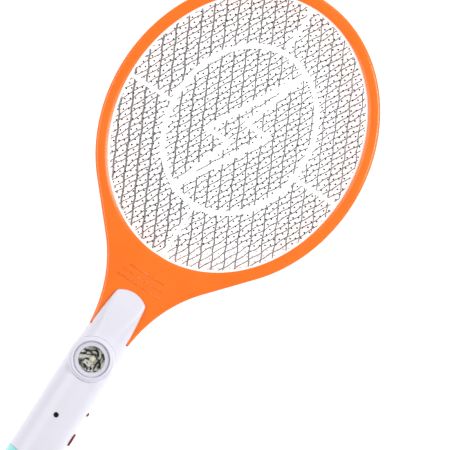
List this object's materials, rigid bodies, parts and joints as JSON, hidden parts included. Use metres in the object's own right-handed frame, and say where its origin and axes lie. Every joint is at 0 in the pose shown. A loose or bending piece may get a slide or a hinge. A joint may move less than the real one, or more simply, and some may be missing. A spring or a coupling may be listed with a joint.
{
  "type": "electric fly swatter",
  "caption": "Racket-shaped electric insect swatter: oval wire-grid head on a round handle with a lamp, and a screw-in torch that holds the battery.",
  "frame": {"origin": "under the middle of the swatter's length and width, on the surface that it lies on", "axes": "+Y along the handle to the tip of the head, +Z out of the front, +X to the right seen from the front"},
  "size_m": [0.2048, 0.5414, 0.044],
  "materials": {
    "orange_abs": "glossy moulded",
    "white_abs": "satin moulded",
    "turquoise_abs": "satin moulded",
    "insulator": "moulded",
    "grid_wire": "expanded and flattened",
    "screw_steel": "zinc plated",
    "contact_brass": "stamped",
    "reflector": "vacuum metallised",
    "clear_lens": "polished",
    "led_dome": "moulded epoxy",
    "circuit_board": "solder masked",
    "black_plastic": "moulded",
    "red_plastic": "moulded",
    "transformer_tape": "wound and taped",
    "capacitor_shell": "dipped",
    "cell_wrap": "shrink wrapped",
    "seal_rubber": "moulded",
    "lead_sleeve": "extruded"
  },
  "bodies": {
    "handle": {"frame_front": "orange_abs", "frame_back": "orange_abs", "grid_front": "grid_wire", "grid_middle": "grid_wire", "grid_back": "grid_wire", "spacer_front": "insulator", "spacer_back": "insulator", "throat_screw_1": "screw_steel", "throat_screw_2": "screw_steel", "handle_front": "white_abs", "handle_back": "white_abs", "handle_screw_1": "screw_steel", "handle_screw_2": "screw_steel", "handle_screw_3": "screw_steel", "lens_bezel": "white_abs", "lamp_lens": "clear_lens", "lamp_reflector": "reflector", "lamp_led": "led_dome", "lamp_board": "circuit_board", "high_voltage_board": "circuit_board", "transformer": "transformer_tape", "storage_capacitor": "capacitor_shell", "filter_capacitor": "capacitor_shell", "fire_switch": "black_plastic", "indicator_led": "red_plastic", "charge_jack": "black_plastic", "lead_front": "lead_sleeve", "lead_middle": "lead_sleeve", "lead_back": "lead_sleeve", "power_lead_plus": "lead_sleeve", "power_lead_minus": "lead_sleeve", "collar": "turquoise_abs", "contact_plate": "circuit_board", "contact_spring": "contact_brass"},
    "fire_button": {"fire_button": "red_plastic", "switch_plunger": "black_plastic"},
    "seal": {"torch_seal": "seal_rubber"},
    "torch": {"torch_body": "white_abs", "torch_light": "red_plastic", "contact_cap": "black_plastic", "contact_pin": "contact_brass", "battery_spring": "screw_steel", "battery_cell": "cell_wrap", "battery_cradle": "black_plastic", "slide_switch": "screw_steel", "torch_board": "circuit_board", "lens_ring": "turquoise_abs", "torch_lens": "clear_lens", "torch_reflector": "reflector", "torch_led_board": "circuit_board", "torch_led": "led_dome"},
    "thumb_slide": {"slide_knob": "turquoise_abs", "switch_lever": "black_plastic"}
  },
  "joints": [
    {"name": "fire_button_press", "type": "slide", "parent": "handle", "child": "fire_button", "axis": [-1, 0, 0], "range_m": [0, 0.0015], "stiffness_N_per_m": 500, "springref_m": -0.001},
    {"name": "torch_travel", "type": "slide", "parent": "handle", "child": "seal", "axis": [0, -1, 0], "range_m": [0, 0.0139]},
    {"name": "torch_turn", "type": "hinge", "parent": "seal", "child": "torch", "pos_m": [0, -0.1527, 0.022], "axis": [0, -1, 0], "range_deg": [0, 1430]},
    {"name": "thumb_slide_travel", "type": "slide", "parent": "torch", "child": "thumb_slide", "axis": [0, -1, 0], "range_m": [0, 0.006]}
  ],
  "couplings": [
    {"joint": "torch_turn", "follows": "torch_travel", "rad_per_m": 1795.2}
  ]
}
